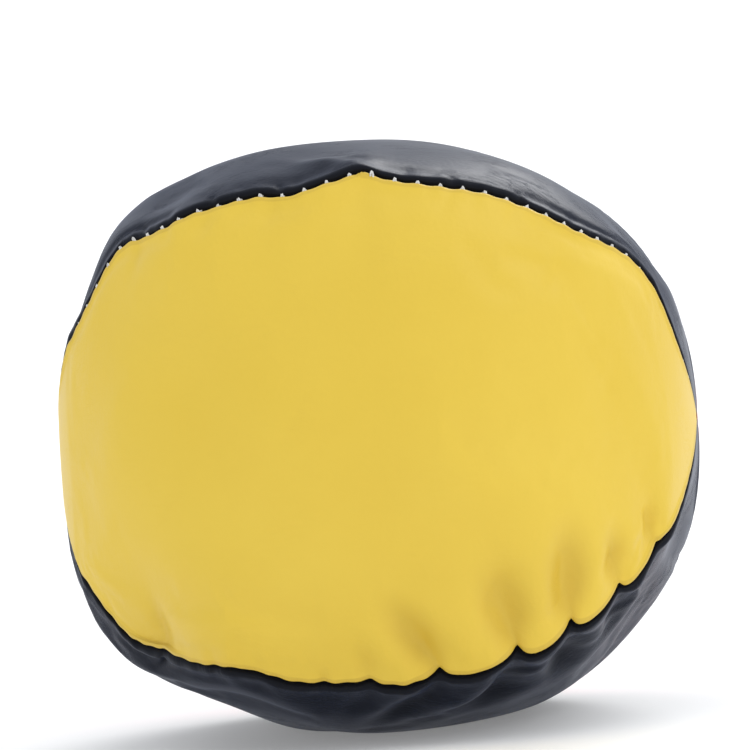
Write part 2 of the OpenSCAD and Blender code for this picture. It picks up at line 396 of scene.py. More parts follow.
def settle():
    """How far the leather moves at each row and column of each panel, as four grids of vectors."""
    verts, faces, s, v = coarse_cover()
    grids = np.zeros((4, SIM_ROWS + 1, SIM_COLUMNS + 1, 3))
    mesh = bpy.data.meshes.new("coarse_cover")
    mesh.from_pydata(verts.tolist(), [], faces)
    cover = bpy.data.objects.new("coarse_cover", mesh)
    bpy.context.collection.objects.link(cover)
    shrink, pinned = cover.vertex_groups.new(name="shrink"), cover.vertex_groups.new(name="pinned")
    for i, weight in enumerate(gather_weights(s, v)):
        shrink.add([i], float(weight), "REPLACE")
    near_tip = np.abs(verts[:, 0]) > HALF_LENGTH - HELD_TIP
    pinned.add([int(i) for i in np.nonzero(near_tip)[0]], 1.0, "REPLACE")
    cloth = cover.modifiers.new("cloth", "CLOTH")
    cloth.settings.use_pressure = True
    cloth.settings.uniform_pressure_force = 4
    cloth.settings.quality = 8
    cloth.settings.tension_stiffness = cloth.settings.compression_stiffness = 25
    cloth.settings.shear_stiffness = 10
    cloth.settings.bending_stiffness = 2.0
    cloth.settings.mass = 0.3
    cloth.settings.shrink_min = 0.0
    cloth.settings.shrink_max = 0.09
    cloth.settings.vertex_group_shrink = "shrink"
    cloth.settings.vertex_group_mass = "pinned"
    cloth.settings.effector_weights.gravity = 0
    cloth.collision_settings.use_collision = False
    cloth.point_cache.frame_end = SIM_FRAMES
    for number in range(1, SIM_FRAMES + 1):
        bpy.context.scene.frame_set(number)
    shown = cover.evaluated_get(bpy.context.evaluated_depsgraph_get())
    after = np.array([p.co for p in shown.data.vertices])
    bpy.context.scene.frame_set(1)
    bpy.data.objects.remove(cover)
    moved = wrinkles_only((after - verts)[:-2].reshape(SIM_ROWS - 1, 4 * SIM_COLUMNS, 3)) * KEPT
    size = np.linalg.norm(moved, axis=-1)[..., None]
    moved *= np.minimum(1, MOST_MOVE / np.maximum(size, 1e-9))
    rows = moved.reshape(SIM_ROWS - 1, 4, SIM_COLUMNS, 3)
    for place, panel in enumerate(AROUND):
        grids[panel, 1:-1, :-1] = rows[:, place]
        grids[panel, 1:-1, -1] = rows[:, (place + 1) % 4, 0]
    print(f"the cloth moved {size.mean() / MM:.2f} mm on average, {size.max() / MM:.2f} mm at most")
    return grids


settled = settle()


def between(a, b, c, e, t):
    """A smooth (Catmull-Rom) curve from b to c, with a before them and e after them."""
    return b + t / 2 * (c - a + t * (2 * a - 5 * b + 4 * c - e + t * (3 * (b - c) + e - a)))


def settled_move(panel, s, v):
    """The cloth's movement at rows s of a panel, and at one column v for each point of a row."""
    place = np.ravel(s) / SEAM_LENGTH * SIM_ROWS
    low = np.clip(np.floor(place).astype(int), 0, SIM_ROWS - 1)
    near = [settled[panel, np.clip(low + k, 0, SIM_ROWS)] for k in (-1, 0, 1, 2)]
    rows = between(*near, (place - low)[:, None, None])
    place = (v + 1) / 2 * SIM_COLUMNS
    low = np.clip(np.floor(place).astype(int), 0, SIM_COLUMNS - 1)
    row = np.arange(len(rows))[:, None]
    near = [rows[row, np.clip(low + k, 0, SIM_COLUMNS)] for k in (-1, 0, 1, 2)]
    return between(*near, (place - low)[..., None])


# %% [markdown]
# ## The panels
#
# Each panel is one closed sheet of leather with a thickness: the outside, the edges rolled over and
# turned in along both seams, and the cloth-backed inside. Solidify could thicken a plain surface, but
# it can't roll an edge inward. So each row of the panel is built as one closed outline, and the rows are
# joined into a skin, dense near the seams, where the creases are.

# %% Rows and columns of a panel
ROWS = 380
COLUMNS = 84
ROLL_POINTS = 6
INSIDE_COLUMNS = 18
TIP = 0.7 * MM           # the rows stop this short of the poles
EDGE_ROOM = 8 * MM       # where a panel is narrower than this, its turned-in edges shrink with it
FLAP_GAP = 0.06 * MM     # half the gap between the two turned-in edges
STITCH_DEPTH = 2.2 * MM
EDGE_ROLL = {"yellow_panel": 0.9 * MM, "red_panel": 0.9 * MM, "upper_black_panel": 1.15 * MM,
             "lower_black_panel": 1.0 * MM}
GAP = 0.26 * MM          # half the opening between two rolled edges
MOST_SHARE = 0.8         # however narrow a panel is, its rolled edge takes up no more of it
row_s = np.linspace(TIP, SEAM_LENGTH - TIP, ROWS + 1)


def share_at(lateral, theta):
    """How far across a panel, up to 1, a point lies that is this far from the seam plane."""
    room = HALF_WIDTH * CORNER_SHARE * np.maximum(girth(theta), LEAST_GIRTH)
    most = MOST_SHARE * lateral / (lateral + 0.6 * MM)
    return 1 - np.minimum(most, math.sqrt(2) * lateral / ((1 + BULGE) * room))


def edge_distance(theta, v, side):
    return HALF_WIDTH * CORNER_SHARE * girth(theta) * (1 - side * v)


TIP_GIRTH = 0.35         # the leather gives less where the ball's girth is below this share of its middle
SEAM_RULES = 3 * MM      # nearer a seam than this, the leather moves with the seam's own direction


def give(panel, s, v, points, normals):
    """Everything that the leather does away from its formula, as a movement of each point."""
    theta = theta_at(s)
    fade = np.clip(girth(theta) / TIP_GIRTH, 0, 1) ** 1.5
    total = np.zeros_like(points)
    drawn = np.zeros(points.shape[:-1])
    for side in (-1, 1):
        seam = panel if side < 0 else (panel - 1) % 4
        before = 1 if side < 0 else -1
        outward, across = seam_axes(seam)
        d = edge_distance(theta, v, side)
        near = np.exp(-((d / SEAM_RULES) ** 2))[..., None]
        direction = normals * (1 - near) + outward * near
        depth = fade * (crease_depth(seam, before, s, d) + stitch_pull(seam, s, d))
        total -= direction * depth[..., None]
        drawn += depth
        total += across * (fade * wander(seam, s, d) * np.exp(-((d / WANDER_FADE) ** 2)))[..., None]
    total += normals * (fade * swelling(points))[..., None]
    total += settled_move(panel, s, np.clip(v, -1, 1))
    return total, drawn


def leather_rows(panel):
    """The closed outline of every row of a panel: points, and where each lies on the flat cut."""
    name = PANELS[panel]
    s = row_s[:, None]
    theta = theta_at(s)
    t = np.linspace(-1, 1, COLUMNS + 1)[None, :]
    roll = EDGE_ROLL[name]
    edge = share_at(GAP + roll, theta)
    v_main = edge * (0.6 * np.sin(math.pi / 2 * t) + 0.4 * t)
    inside_v = share_at(LEATHER + 0.1 * MM, theta) * np.linspace(1, -1, INSIDE_COLUMNS + 1)[None, :]

    def placed(v, points, normals):
        moved, drawn = give(panel, s, v, points, normals)
        return points + moved, drawn

    def outside(v):
        points, normals = (turned(a, panel) for a in panel_surface(theta, v))
        return placed(v, points, normals)

    def turned_in(side, forward):
        """The rolled edge, and the flap behind it, from the outside to the inside."""
        seam = panel if side < 0 else (panel - 1) % 4
        outward, across = seam_axes(seam)
        across = across if side < 0 else -across
        corner, _ = (turned(a, panel) for a in panel_surface(theta, np.full_like(theta, side)))
        start, _ = (turned(a, panel) for a in panel_surface(theta, side * edge))
        room = np.minimum(1, girth(theta) * HALF_WIDTH / EDGE_ROOM)[..., None]
        control = corner + across * GAP * room
        top = control - outward * roll * room
        bends = np.linspace(0, 1, ROLL_POINTS + 1)[1:, None, None, None]
        path = [(1 - k) ** 2 * start + 2 * k * (1 - k) * control + k * k * top for k in bends]
        deep = corner - outward * ALLOWANCE * room
        path += [top + (deep + across * FLAP_GAP - top) * k for k in (0.25, 0.6, 1.0)]
        path += [path[-1] + across * LEATHER * 0.9 * room]
        path += [corner - outward * STITCH_DEPTH * room + across * LEATHER * room]
        if not forward:
            path = path[::-1]
        points = np.concatenate(path, axis=1)
        v = [side * (edge + (1 - edge) * k) for k in bends.ravel()] + [side * np.ones_like(edge)] * 5
        v = np.concatenate(v if forward else v[::-1], axis=1)
        normals = np.broadcast_to(outward, points.shape)
        return placed(v, points, normals)

    main, drawn_main = outside(v_main)
    inner_points, inner_normals = (turned(a, panel) for a in panel_surface(theta, inside_v))
    inner, drawn_inner = placed(inside_v, inner_points - inner_normals * LEATHER, inner_normals)
    upper, drawn_upper = turned_in(1, True)
    lower, drawn_lower = turned_in(-1, False)
    rows = np.concatenate([main, upper, inner, lower], axis=1)
    drawn = np.concatenate([drawn_main, drawn_upper, drawn_inner, drawn_lower], axis=1)
    across_cut = HALF_WIDTH * CORNER_SHARE * girth(theta)
    flat_v = np.concatenate([
        v_main * across_cut,
        across_cut + np.zeros((1, upper.shape[1])),
        inside_v * across_cut,
        -across_cut + np.zeros((1, lower.shape[1])),
    ], axis=1)
    # The mask of the painted shade in the seam grooves: 1 on the turned-in edges, fading within a few mm of
    # the seam, 0 inside.
    edges = np.concatenate([
        np.exp(-((across_cut * (1 - np.abs(v_main)) / (1.6 * MM)) ** 2)),
        np.ones(upper.shape[:2]), np.zeros(inner.shape[:2]), np.ones(lower.shape[:2]),
    ], axis=1)
    inside = np.zeros(rows.shape[1], bool)
    inside[main.shape[1] + ROLL_POINTS + 3:-(ROLL_POINTS + 3)] = True
    return rested(rows), drawn, flat_v, edges, inside


def closed_skin(name, rows):
    """Joins rows of points into one closed mesh, with a fan over each end."""
    count, width = rows.shape[:2]
    verts = np.concatenate([rows.reshape(-1, 3), rows[0].mean(0)[None], rows[-1].mean(0)[None]])
    i, j = np.meshgrid(np.arange(count - 1), np.arange(width), indexing="ij")
    k = (j + 1) % width
    quads = np.stack([i * width + j, (i + 1) * width + j, (i + 1) * width + k, i * width + k], axis=-1)
    faces = [tuple(q) for q in quads.reshape(-1, 4).tolist()]
    first, last, base = len(verts) - 2, len(verts) - 1, (count - 1) * width
    for a in range(width):
        b = (a + 1) % width
        faces.append((first, a, b))
        faces.append((last, base + b, base + a))
    mesh = bpy.data.meshes.new(name)
    mesh.from_pydata(verts.tolist(), [], faces)
    return mesh


def is_inside_out(mesh):
    """True where a closed mesh's faces point inward: its signed volume is then negative."""
    mesh.calc_loop_triangles()
    points = np.array([v.co for v in mesh.vertices])
    corners = np.array([t.vertices[:] for t in mesh.loop_triangles])
    a, b, c = points[corners[:, 0]], points[corners[:, 1]], points[corners[:, 2]]
    return np.einsum("ij,ij->i", a, np.cross(b, c)).sum() < 0


# %% Build the four panels
def add_piece(name, mesh, node):
    """Puts a finished mesh in the scene, in place of its CAD node."""
    piece = bpy.data.objects.new(name, mesh)
    bpy.context.collection.objects.link(piece)
    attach(piece, BODY)
    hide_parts(node)
    return piece


def make_panel(panel, leather, backing):
    name = PANELS[panel]
    rows, drawn, flat_v, edges, inside = leather_rows(panel)
    mesh = closed_skin(name + "_leather", rows)
    if is_inside_out(mesh):
        mesh.flip_normals()
    mesh.shade_smooth()
    mesh.materials.append(leather)
    mesh.materials.append(backing)
    width = rows.shape[1]
    loops = np.zeros(len(mesh.loops), np.int32)
    mesh.loops.foreach_get("vertex_index", loops)
    flat = np.stack(np.broadcast_arrays(row_s[:, None], flat_v), axis=-1).reshape(-1, 2)
    flat = np.concatenate([flat, [[TIP, 0], [SEAM_LENGTH - TIP, 0]]])
    cut = mesh.uv_layers.new(name="cut")
    cut.uv.foreach_set("vector", flat[loops].astype(np.float32).ravel())
    # seam_edge and drawn_in mask the painted shade in the seam grooves and crease hollows.
    for label, values in (("seam_edge", edges), ("drawn_in", drawn / MM)):
        layer = mesh.attributes.new(label, "FLOAT", "POINT")
        layer.data.foreach_set("value", np.concatenate([values.ravel(), [1, 1]]).astype(np.float32))
    first = np.array([p.vertices[0] for p in mesh.polygons])
    on_back = np.where(first < rows.shape[0] * width, inside[first % width], False)
    mesh.polygons.foreach_set("material_index", on_back.astype(np.int32))
    piece = add_piece(name + "_leather", mesh, name)
    low, high = rows.reshape(-1, 3).min(0) / MM, rows.reshape(-1, 3).max(0) / MM
    print(f"{name}: {len(mesh.polygons)} faces, from {np.round(low, 1)} to {np.round(high, 1)} mm")
    return piece


# %% [markdown]
# ## Leather, built from nodes
#
# Synthetic leather is cloth with a skin of soft plastic, embossed with a grain. Up close it has three
# things: small rounded pebbles, fine creases where it has been bent, and a tone that drifts a little.
# An image could show them, but a procedural material stays sharp at any distance and follows the cut
# through the panel's own UV map, which is in metres. All three colours share one node group for the
# surface, so they look like one material from one factory.

# %% Helpers for node trees
def add(tree, kind, inputs=None, **settings):
    """Adds a node, with its settings, and its inputs by name or number."""
    item = tree.nodes.new(kind)
    for key, value in settings.items():
        setattr(item, key, value)
    for key, value in (inputs or {}).items():
        if isinstance(value, bpy.types.NodeSocket):
            tree.links.new(value, item.inputs[key])
        else:
            item.inputs[key].default_value = value
    return item


def math_node(tree, operation, a, b=0.0):
    return add(tree, "ShaderNodeMath", {0: a, 1: b}, operation=operation).outputs[0]


def new_material(name):
    """A material with nodes, its tree, and its Principled shader."""
    material = bpy.data.materials.new(name)
    material.use_nodes = True
    return material, material.node_tree, material.node_tree.nodes["Principled BSDF"]


def tinted(tree, shader, factor, first, second):
    """Gives a shader a base colour that lies between two others."""
    tint = add(tree, "ShaderNodeMix", {"Factor": factor, "A": (*first, 1), "B": (*second, 1)},
               data_type="RGBA")
    tree.links.new(tint.outputs["Result"], shader.inputs["Base Color"])


def bumped(tree, shader, height, strength, distance):
    bump = add(tree, "ShaderNodeBump", {"Height": height, "Strength": strength, "Distance": distance})
    tree.links.new(bump.outputs[0], shader.inputs["Normal"])


def new_group(name, kind, inputs, outputs):
    """An empty node group with named sockets. Each input has its type and its default."""
    tree = bpy.data.node_groups.new(name, kind)
    for label, socket_type, default in inputs:
        socket = tree.interface.new_socket(label, in_out="INPUT", socket_type=socket_type)
        if default is not None:
            socket.default_value = default
    for label, socket_type in outputs:
        tree.interface.new_socket(label, in_out="OUTPUT", socket_type=socket_type)
    return tree, tree.nodes.new("NodeGroupInput").outputs, tree.nodes.new("NodeGroupOutput").inputs


# %% The leather's surface, as a shader group
def leather_surface_group():
    tree, given, out = new_group("leather_surface", "ShaderNodeTree", [
        ("Cut", "NodeSocketVector", None),
        ("Pebble Size", "NodeSocketFloat", 0.45 * MM),
        ("Pebble Depth", "NodeSocketFloat", 0.5),
        ("Crease Length", "NodeSocketFloat", 4 * MM),
        ("Crease Depth", "NodeSocketFloat", 0.5),
    ], [("Height", "NodeSocketFloat"), ("Tone", "NodeSocketFloat"), ("Creases", "NodeSocketFloat")])
    one_over = math_node(tree, "DIVIDE", 1.0, given["Pebble Size"])
    bent = add(tree, "ShaderNodeTexNoise", {"Vector": given["Cut"], "Scale": 900.0, "Detail": 2.0})
    drift = add(tree, "ShaderNodeVectorMath", {0: bent.outputs["Color"], 1: (0.25 * MM,) * 3},
                operation="MULTIPLY")
    place = add(tree, "ShaderNodeVectorMath", {0: given["Cut"], 1: drift.outputs[0]}, operation="ADD")
    cells = add(tree, "ShaderNodeTexVoronoi", {"Vector": place.outputs[0], "Scale": one_over},
                feature="SMOOTH_F1")
    pebbles = math_node(tree, "MULTIPLY", cells.outputs["Distance"], given["Pebble Depth"])
    crease_scale = math_node(tree, "DIVIDE", 1.0, given["Crease Length"])
    stretch = add(tree, "ShaderNodeMapping", {"Vector": place.outputs[0], "Scale": (1.0, 5.0, 1.0)})
    wrinkled = add(tree, "ShaderNodeTexNoise",
                   {"Vector": stretch.outputs[0], "Scale": crease_scale, "Detail": 5.0, "Roughness": 0.62})
    folded = math_node(tree, "ABSOLUTE", math_node(tree, "SUBTRACT", wrinkled.outputs["Fac"], 0.5))
    lines = add(tree, "ShaderNodeMapRange", {"Value": folded, "From Min": 0.0, "From Max": 0.035,
                                             "To Min": 1.0, "To Max": 0.0}).outputs[0]
    where = add(tree, "ShaderNodeTexNoise", {"Vector": given["Cut"], "Scale": 140.0, "Detail": 2.0})
    patches = add(tree, "ShaderNodeMapRange", {"Value": where.outputs["Fac"], "From Min": 0.45,
                                               "From Max": 0.7}).outputs[0]
    creases = math_node(tree, "MULTIPLY", lines, patches)
    sunk = math_node(tree, "MULTIPLY", creases, given["Crease Depth"])
    tree.links.new(math_node(tree, "SUBTRACT", 0.0, math_node(tree, "ADD", pebbles, sunk)), out["Height"])
    tone = add(tree, "ShaderNodeTexNoise", {"Vector": given["Cut"], "Scale": 45.0, "Detail": 4.0})
    tree.links.new(tone.outputs["Fac"], out["Tone"])
    tree.links.new(creases, out["Creases"])
    return tree


# %% Painted shade in the seam grooves and crease hollows, as a shader group
def painted_groove_shade_group():
    """Painted shade: mixes the leather's colour towards a shade colour in the seam grooves and crease
    hollows, unevenly with its tone.
    """
    tree, given, out = new_group("painted_groove_shade", "ShaderNodeTree", [
        ("Color", "NodeSocketColor", (0.5, 0.5, 0.5, 1)),
        ("Shade Color", "NodeSocketColor", (0.1, 0.09, 0.08, 1)),
        ("Edge", "NodeSocketFloat", 0.0),
        ("Drawn In", "NodeSocketFloat", 0.0),
        ("Tone", "NodeSocketFloat", 0.5),
        ("Amount", "NodeSocketFloat", 0.5),
    ], [("Color", "NodeSocketColor")])
    in_groove = add(tree, "ShaderNodeMapRange", {"Value": given["Edge"], "From Min": 0.8, "From Max": 1.0})
    in_crease = add(tree, "ShaderNodeMapRange", {"Value": given["Drawn In"], "From Min": 0.3, "From Max": 1.4,
                                                 "To Max": 0.9})
    # Painted shade: the groove and the crease hollows are darkened as if in shadow.
    shaded_places = math_node(tree, "MAXIMUM", in_groove.outputs[0], in_crease.outputs[0])
    uneven = math_node(tree, "MULTIPLY", shaded_places, math_node(tree, "ADD", given["Tone"], 0.35))
    amount = math_node(tree, "MULTIPLY", uneven, given["Amount"])
    mixed = add(tree, "ShaderNodeMix", {"Factor": amount, "A": given["Color"], "B": given["Shade Color"]},
                data_type="RGBA")
    tree.links.new(mixed.outputs["Result"], out["Color"])
    return tree


leather_surface = leather_surface_group()
painted_groove_shade = painted_groove_shade_group()
print("shader groups:", leather_surface.name, painted_groove_shade.name)


# %% A leather of any colour
def leather_material(name, deep, light, grime_and_shade, rough, specular, coat, coat_rough, crease_depth, painted_shade_amount,
                     haze=0.0):
    """Leather between two tones. haze is the bluish bloom of a dark, smooth leather seen at a slant."""
    material, tree, shader = new_material(name)
    cut = add(tree, "ShaderNodeUVMap", uv_map="cut").outputs[0]
    surface = add(tree, "ShaderNodeGroup", node_tree=leather_surface)
    tree.links.new(cut, surface.inputs["Cut"])
    surface.inputs["Crease Depth"].default_value = crease_depth
    edge = add(tree, "ShaderNodeAttribute", attribute_name="seam_edge")
    drawn = add(tree, "ShaderNodeAttribute", attribute_name="drawn_in")
    tones = add(tree, "ShaderNodeMix", {"A": deep, "B": light}, data_type="RGBA")
    tree.links.new(surface.outputs["Tone"], tones.inputs["Factor"])
    # Painted shade: the seam grooves and crease hollows are darkened towards the third colour.
    shaded = add(tree, "ShaderNodeGroup", node_tree=painted_groove_shade)
    shaded.inputs["Shade Color"].default_value = grime_and_shade
    shaded.inputs["Amount"].default_value = painted_shade_amount
    for label, source in (("Color", tones.outputs["Result"]), ("Edge", edge.outputs["Fac"]),
                          ("Drawn In", drawn.outputs["Fac"]), ("Tone", surface.outputs["Tone"])):
        tree.links.new(source, shaded.inputs[label])
    tree.links.new(shaded.outputs["Color"], shader.inputs["Base Color"])
    dull = add(tree, "ShaderNodeMapRange", {"Value": surface.outputs["Tone"], "From Min": 0.3,
                                            "From Max": 0.7, "To Min": rough - 0.05, "To Max": rough + 0.06})
    cracked = math_node(tree, "MULTIPLY", surface.outputs["Creases"], 0.12)
    rougher = math_node(tree, "ADD", dull.outputs[0], cracked)
    tree.links.new(rougher, shader.inputs["Roughness"])
    bumped(tree, shader, surface.outputs["Height"], 0.55, 0.06 * MM)
    shader.inputs["Coat Weight"].default_value = coat
    shader.inputs["Coat Roughness"].default_value = coat_rough
    shader.inputs["Specular IOR Level"].default_value = specular
    shader.inputs["Sheen Weight"].default_value = haze
    shader.inputs["Sheen Roughness"].default_value = 0.45
    shader.inputs["Sheen Tint"].default_value = HAZE_BLUE
    return material


HAZE_BLUE = (0.35, 0.5, 1.0, 1)
# Each colour: its deeper tone, its lighter tone, and the colour of the painted shade in its seam grooves and
# crease hollows.
YELLOWS = (0.72, 0.49, 0.045, 1), (0.8, 0.57, 0.07, 1), (0.35, 0.2, 0.03, 1)
REDS = (0.34, 0.013, 0.012, 1), (0.42, 0.021, 0.019, 1), (0.12, 0.01, 0.01, 1)
BLACKS = (0.005, 0.006, 0.010, 1), (0.010, 0.012, 0.020, 1), (0.01, 0.01, 0.01, 1)
yellow = leather_material("yellow_leather", *YELLOWS, rough=0.44, specular=0.3, coat=0.04,
                          coat_rough=0.3, crease_depth=0.25, painted_shade_amount=0.25)
red = leather_material("red_leather", *REDS, rough=0.42, specular=0.25, coat=0.04,
                       coat_rough=0.3, crease_depth=0.3, painted_shade_amount=0.5)
black = leather_material("black_leather", *BLACKS, rough=0.33, specular=0.06, coat=0.02,
                         coat_rough=0.24, crease_depth=0.9, painted_shade_amount=0.4, haze=0.07)


# %% The cloth backing
def backing_material():
    """The knitted cloth on the leather's inside: loops in rows, off-white."""
    material, tree, shader = new_material("cloth_backing")
    cut = add(tree, "ShaderNodeUVMap", uv_map="cut").outputs[0]
    rows = add(tree, "ShaderNodeTexWave", {"Vector": cut, "Scale": 320.0, "Distortion": 1.5},
               bands_direction="X")
    loops = add(tree, "ShaderNodeTexWave", {"Vector": cut, "Scale": 420.0, "Distortion": 1.0},
                bands_direction="Y")
    knit = math_node(tree, "MULTIPLY", rows.outputs["Fac"], loops.outputs["Fac"])
    tinted(tree, shader, knit, (0.5, 0.47, 0.42), (0.8, 0.78, 0.72))
    bumped(tree, shader, knit, 0.8, 0.2 * MM)
    shader.inputs["Roughness"].default_value = 0.9
    return material


backing = backing_material()
LEATHERS = {"yellow_panel": yellow, "red_panel": red, "lower_black_panel": black, "upper_black_panel": black}
for panel, panel_name in enumerate(PANELS):
    make_panel(panel, LEATHERS[panel_name], backing)

# %% [markdown]
# ## Sewing, by Geometry Nodes
#
# A machine seam is a lockstitch: the needle's thread runs along one side, the bobbin's along the other,
# and at each hole they hook round each other. Where the filling pulls the seam open, the hooks show as
# short white bars across the groove. Placing each by hand would never end, and they all follow one rule,
# so a node tree bends a seam line into a thread: it works out how far along the current stitch each
# point is, and reads its sideways place and its depth from two curves. A smaller tree then winds three
# plies round that path.

# %% A twisted thread, as a geometry group
def end_tree(tree, geometry, material, socket):
    """The end of every geometry tree here: real geometry, painted."""
    whole = add(tree, "GeometryNodeRealizeInstances", {"Geometry": geometry})
    painted = add(tree, "GeometryNodeSetMaterial", {"Geometry": whole.outputs[0], "Material": material})
    tree.links.new(painted.outputs[0], socket)


def twisted_thread_group():
    """Sweeps three plies along curves: the tilt grows with length, so the plies wind round."""
    tree, given, out = new_group("twisted_thread", "GeometryNodeTree", [
        ("Path", "NodeSocketGeometry", None),
        ("Thread Width", "NodeSocketFloat", 0.28 * MM),
        ("Lay Length", "NodeSocketFloat", 1.1 * MM),
        ("Material", "NodeSocketMaterial", None),
    ], [("Thread", "NodeSocketGeometry")])
    reached = add(tree, "GeometryNodeSplineParameter").outputs["Length"]
    turns = math_node(tree, "DIVIDE", reached, given["Lay Length"])
    tilt = math_node(tree, "MULTIPLY", turns, 2 * math.pi)
    wound = add(tree, "GeometryNodeSetCurveTilt", {"Curve": given["Path"], "Tilt": tilt})
    outer = math_node(tree, "MULTIPLY", given["Thread Width"], 0.5)
    inner = math_node(tree, "MULTIPLY", given["Thread Width"], 0.38)
    plies = add(tree, "GeometryNodeCurveStar", {"Points": 3, "Inner Radius": inner, "Outer Radius": outer})
    swept = add(tree, "GeometryNodeCurveToMesh", {"Curve": wound.outputs[0],
                                                  "Profile Curve": plies.outputs[0], "Fill Caps": True})
    smooth = add(tree, "GeometryNodeSetShadeSmooth", {"Geometry": swept.outputs[0]})
    end_tree(tree, smooth.outputs[0], given["Material"], out["Thread"])
    return tree


def float_curve(tree, value, points):
    """A value read from a curve through these points, which all lie from 0 to 1."""
    item = add(tree, "ShaderNodeFloatCurve", {"Value": value})
    curve = item.mapping.curves[0]
    curve.points[0].location, curve.points[1].location = points[0], points[-1]
    for place in points[1:-1]:
        curve.points.new(*place)
    item.mapping.update()
    return item.outputs[0]


# %% The lockstitch tree
def lockstitch_group(twisted_thread):
    tree, given, out = new_group("lockstitch", "GeometryNodeTree", [
        ("Seam Line", "NodeSocketGeometry", None),
        ("Stitch Length", "NodeSocketFloat", STITCH_PITCH),
        ("Side", "NodeSocketFloat", 1.0),
        ("Edge Thickness", "NodeSocketFloat", 1.2 * MM),
        ("Float Depth", "NodeSocketFloat", 2.8 * MM),
        ("Bar Depth", "NodeSocketFloat", 0.4 * MM),
        ("Strand Gap", "NodeSocketFloat", 0.3 * MM),
        ("Thread Width", "NodeSocketFloat", 0.28 * MM),
        ("Material", "NodeSocketMaterial", None),
    ], [("Thread", "NodeSocketGeometry")])
    line = add(tree, "GeometryNodeMeshToCurve", {"Mesh": given["Seam Line"]})
    fine = math_node(tree, "DIVIDE", given["Stitch Length"], 28.0)
    points = add(tree, "GeometryNodeResampleCurve", {"Curve": line.outputs[0], "Length": fine}, mode="LENGTH")

    def stored(label, kind):
        return add(tree, "GeometryNodeInputNamedAttribute", {"Name": label}, data_type=kind).outputs[0]

    sewn = stored("sewn", "FLOAT")
    outward, across = stored("outward", "FLOAT_VECTOR"), stored("across", "FLOAT_VECTOR")
    phase = math_node(tree, "FRACT", math_node(tree, "DIVIDE", sewn, given["Stitch Length"]))
    from_hole = math_node(tree, "SUBTRACT", phase, 0.5)
    near = math_node(tree, "MULTIPLY", math_node(tree, "ABSOLUTE", from_hole), 2.0)
    reach = float_curve(tree, near, [(0, 0.1), (0.18, 0.42), (0.34, 0.75), (0.52, 1.0), (1, 1.0)])
    sink = float_curve(tree, near, [(0, 0.0), (0.18, 0.08), (0.34, 0.6), (0.52, 1.0), (1, 1.0)])
    sideways = math_node(tree, "MULTIPLY", reach, given["Edge Thickness"])
    sideways = math_node(tree, "MULTIPLY", sideways, given["Side"])
    depth_span = math_node(tree, "SUBTRACT", given["Float Depth"], given["Bar Depth"])
    depth = math_node(tree, "ADD", given["Bar Depth"], math_node(tree, "MULTIPLY", sink, depth_span))
    # Near a hole the strand must run across the seam, so its way along the seam is held back.
    hold = float_curve(tree, near, [(0, 1.0), (0.5, 1.0), (0.62, 0.8), (1, 0.0)])
    spread = math_node(tree, "MULTIPLY", math_node(tree, "SIGN", from_hole), reach)
    strand = math_node(tree, "MULTIPLY", spread, given["Strand Gap"])
    back = math_node(tree, "SUBTRACT", strand, math_node(tree, "MULTIPLY", from_hole, given["Stitch Length"]))
    held = math_node(tree, "MULTIPLY", back, hold)
    tangent = add(tree, "GeometryNodeInputTangent").outputs[0]

    def scaled(vector, amount):
        return add(tree, "ShaderNodeVectorMath", {0: vector, "Scale": amount}, operation="SCALE").outputs[0]

    shift = add(tree, "ShaderNodeVectorMath",
                {0: scaled(across, sideways), 1: scaled(outward, math_node(tree, "SUBTRACT", 0.0, depth))},
                operation="ADD")
    shift = add(tree, "ShaderNodeVectorMath", {0: shift.outputs[0], 1: scaled(tangent, held)},
                operation="ADD")
    bent = add(tree, "GeometryNodeSetPosition", {"Geometry": points.outputs[0], "Offset": shift.outputs[0]})
    thread = add(tree, "GeometryNodeGroup", {"Path": bent.outputs[0], "Thread Width": given["Thread Width"],
                                             "Material": given["Material"]}, node_tree=twisted_thread)
    tree.links.new(thread.outputs[0], out["Thread"])
    return tree


# %% The thread's material
def thread_material():
    """Spun polyester: off-white, with a faint sheen, fuzz along the plies and a little grime."""
    material, tree, shader = new_material("sewing_thread")
    place = add(tree, "ShaderNodeTexCoord").outputs["Object"]
    fuzz = add(tree, "ShaderNodeTexNoise", {"Vector": place, "Scale": 9000.0, "Detail": 3.0})
    grime_and_shade = add(tree, "ShaderNodeTexNoise", {"Vector": place, "Scale": 130.0, "Detail": 2.0})
    tinted(tree, shader, grime_and_shade.outputs["Fac"], (0.62, 0.6, 0.55), (0.86, 0.85, 0.82))
    bumped(tree, shader, fuzz.outputs["Fac"], 0.6, 0.03 * MM)
    shader.inputs["Roughness"].default_value = 0.6
    shader.inputs["Sheen Weight"].default_value = 0.25
    return material


# %% Seam lines to sew along
SEWING_ROOM = 11 * MM    # where a panel is narrower than this, the stitches shrink with it
LINE_STEP = 0.4 * MM


def seam_points(seam, s):
    """The top of a seam's groove at each distance s, moved as its leather is."""
    theta = theta_at(s)[:, None]
    v = np.full_like(theta, -1.0)
    points = turned(panel_surface(theta, v)[0], seam)
    outward = np.broadcast_to(seam_axes(seam)[0], points.shape)
    moved = give(seam, s[:, None], v, points, outward)[0]
    return rested(points + moved)[:, 0]


def seam_directions(seam, s):
    """Out of the ball and across the seam at each s. Both shorten where the panels narrow to a point."""
    across = seam_axes(seam)[1]
    theta = theta_at(s)
    normals = turned(panel_surface(theta, np.full_like(theta, -1.0))[1], seam)
    out = normals - (normals @ across)[:, None] * across
    out /= np.linalg.norm(out, axis=1)[:, None]
    room = np.minimum(1, girth(theta) * HALF_WIDTH / SEWING_ROOM)[:, None]
    return out * room, across * room


